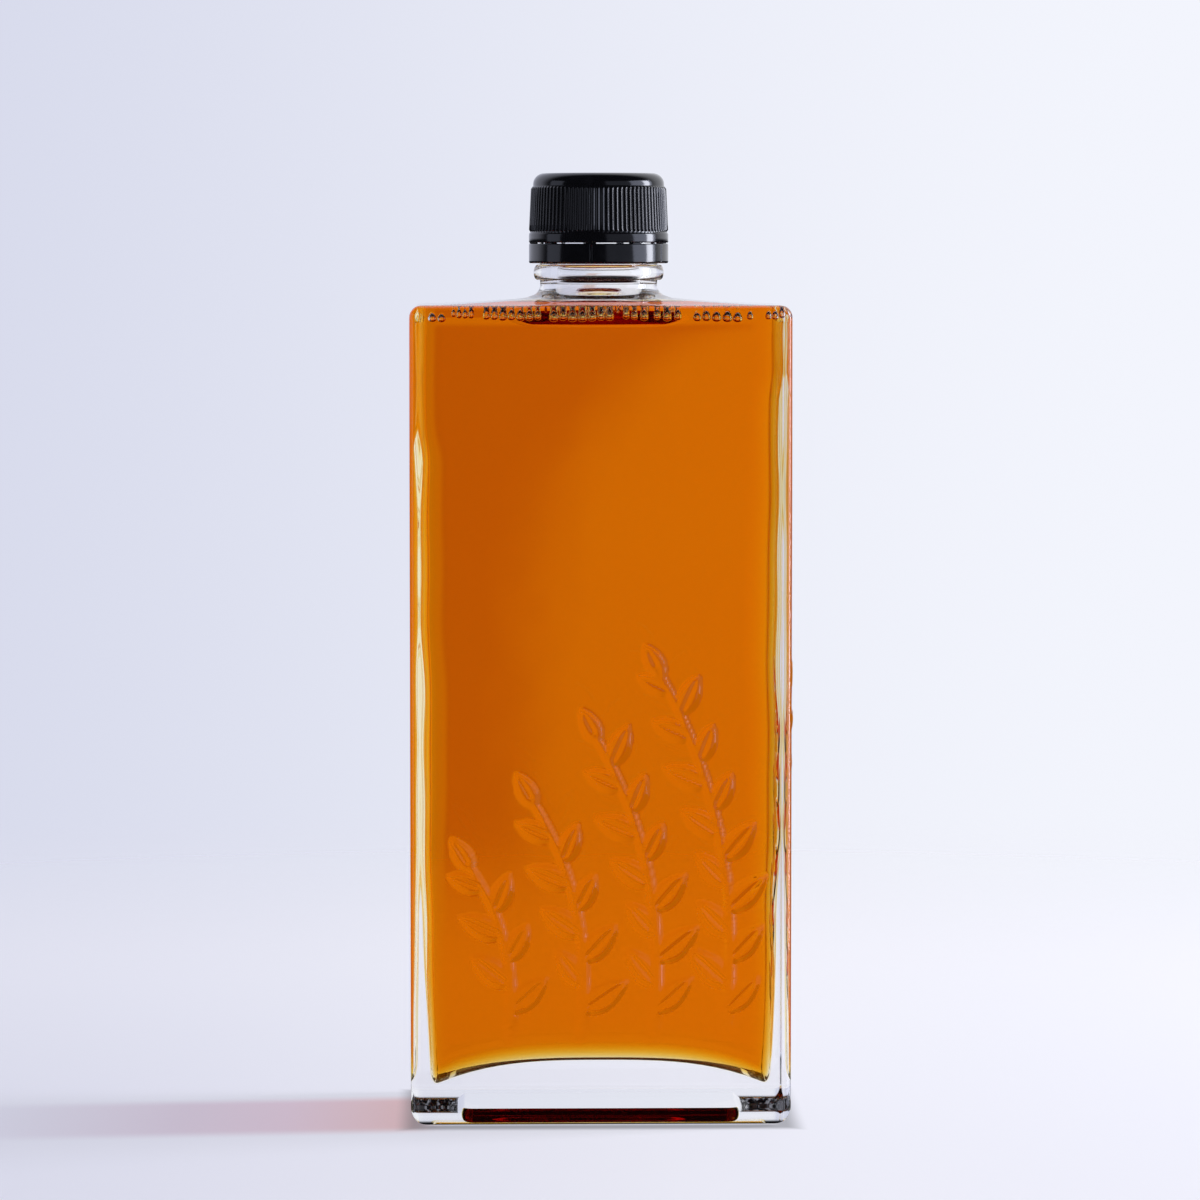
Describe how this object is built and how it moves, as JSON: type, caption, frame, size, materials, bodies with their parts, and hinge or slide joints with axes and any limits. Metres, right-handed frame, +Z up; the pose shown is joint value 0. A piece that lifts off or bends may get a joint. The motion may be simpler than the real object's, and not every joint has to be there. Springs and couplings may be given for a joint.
{
  "type": "maple syrup bottle",
  "caption": "Flat-sided clear glass bottle of amber maple syrup with a black screw cap and leafy sprays in low relief.",
  "frame": {"origin": "middle of the base, on the plane that the bottle stands on", "axes": "+Z up through the neck, -Y out of the front face with the leafy sprays, +X to the right seen from the front"},
  "size_m": [0.0817, 0.0507, 0.2028],
  "materials": {
    "glass": "polished moulded glass",
    "syrup": "clear amber liquid",
    "cap": "satin moulded plastic"
  },
  "bodies": {
    "root": {"glass": "glass", "syrup": "syrup", "cap": "cap"}
  },
  "joints": []
}
